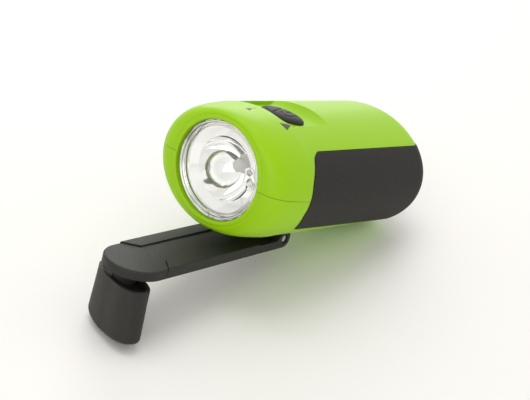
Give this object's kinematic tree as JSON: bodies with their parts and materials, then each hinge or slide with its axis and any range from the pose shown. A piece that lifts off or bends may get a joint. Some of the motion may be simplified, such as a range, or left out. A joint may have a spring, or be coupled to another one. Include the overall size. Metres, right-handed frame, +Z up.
{
  "type": "hand crank flashlight",
  "caption": "Palm-sized crank flashlight: oval two-part housing with rubber grip, raked lens, thumb slide switch, and a fold-out crank with paddle knob driving a geared generator.",
  "frame": {"origin": "on the floor, at the centre of the overall box", "axes": "+X towards the beam, +Y to the left of the beam, +Z up; the body stands nose up on its tail and on the crank knob"},
  "size_m": [0.1693, 0.0658, 0.0731],
  "materials": {
    "body_green": "satin moulded plastic, saturated lime green",
    "grip_rubber": "matte dark grey soft-touch rubber",
    "clear_lens": "clear polished lens",
    "bright_reflector": "bright vacuum-metallised reflector",
    "lamp": "clear lamp with a pale yellow emitter",
    "circuit_green": "green circuit laminate",
    "chip_black": "black moulded chips",
    "dark_plastic": "fine-textured dark grey moulded plastic",
    "black_plastic": "plain black plastic",
    "white_gear": "off-white acetal gears",
    "steel": "bright steel",
    "magnet": "dark ferrite magnet",
    "case_steel": "plated steel case",
    "copper": "enamelled copper winding",
    "cell_steel": "nickel-plated button cells"
  },
  "bodies": {
    "housing": {"upper_shell": "body_green", "lower_shell": "body_green", "grip": "grip_rubber", "housing_screws": "steel", "lens": "clear_lens", "reflector": "bright_reflector", "led": "lamp", "led_board": "circuit_green", "switch_case": "black_plastic", "idler_axle": "steel", "gear_plate": "black_plastic", "plate_screws": "steel", "generator_case": "case_steel", "generator_coil": "copper", "cell_holder": "black_plastic", "button_cells": "cell_steel", "circuit_board": "circuit_green", "circuit_chips": "chip_black"},
    "crank": {"crank_hub": "dark_plastic", "crank_gear": "white_gear", "hub_screw": "steel"},
    "arm": {"crank_arm": "dark_plastic", "arm_channel": "dark_plastic", "hinge_pin": "steel", "spindle": "steel"},
    "knob": {"crank_knob": "dark_plastic"},
    "slider": {"switch_slider": "dark_plastic"},
    "idler": {"idler_gear": "white_gear"},
    "rotor": {"rotor_pinion": "white_gear", "rotor_axle": "steel", "rotor_magnet": "magnet"}
  },
  "joints": [
    {"name": "crank_spin", "type": "hinge", "parent": "housing", "child": "crank", "pos_m": [-0.00779, 0, 0.01703], "axis": [-0.2657, 0, 0.964], "continuous": true},
    {"name": "arm_fold", "type": "hinge", "parent": "crank", "child": "arm", "pos_m": [-0.00676, 0, 0.01327], "axis": [0, 1, 0], "range_deg": [0, 175.8]},
    {"name": "knob_spin", "type": "hinge", "parent": "arm", "child": "knob", "pos_m": [0.07405, 0, 0.01705], "axis": [-0.1944, 0, 0.9809], "continuous": true},
    {"name": "switch_slide", "type": "slide", "parent": "housing", "child": "slider", "axis": [0, 1, 0], "range_m": [-0.003, 0.003]},
    {"name": "idler_spin", "type": "hinge", "parent": "housing", "child": "idler", "pos_m": [-0.03094, 0, 0.02196], "axis": [-0.2657, 0, 0.964], "continuous": true},
    {"name": "rotor_spin", "type": "hinge", "parent": "housing", "child": "rotor", "pos_m": [-0.05235, 0, 0.0285], "axis": [-0.2657, 0, 0.964], "continuous": true}
  ],
  "couplings": [
    {"joint": "idler_spin", "follows": "crank_spin", "ratio": -4},
    {"joint": "rotor_spin", "follows": "crank_spin", "ratio": 14}
  ]
}
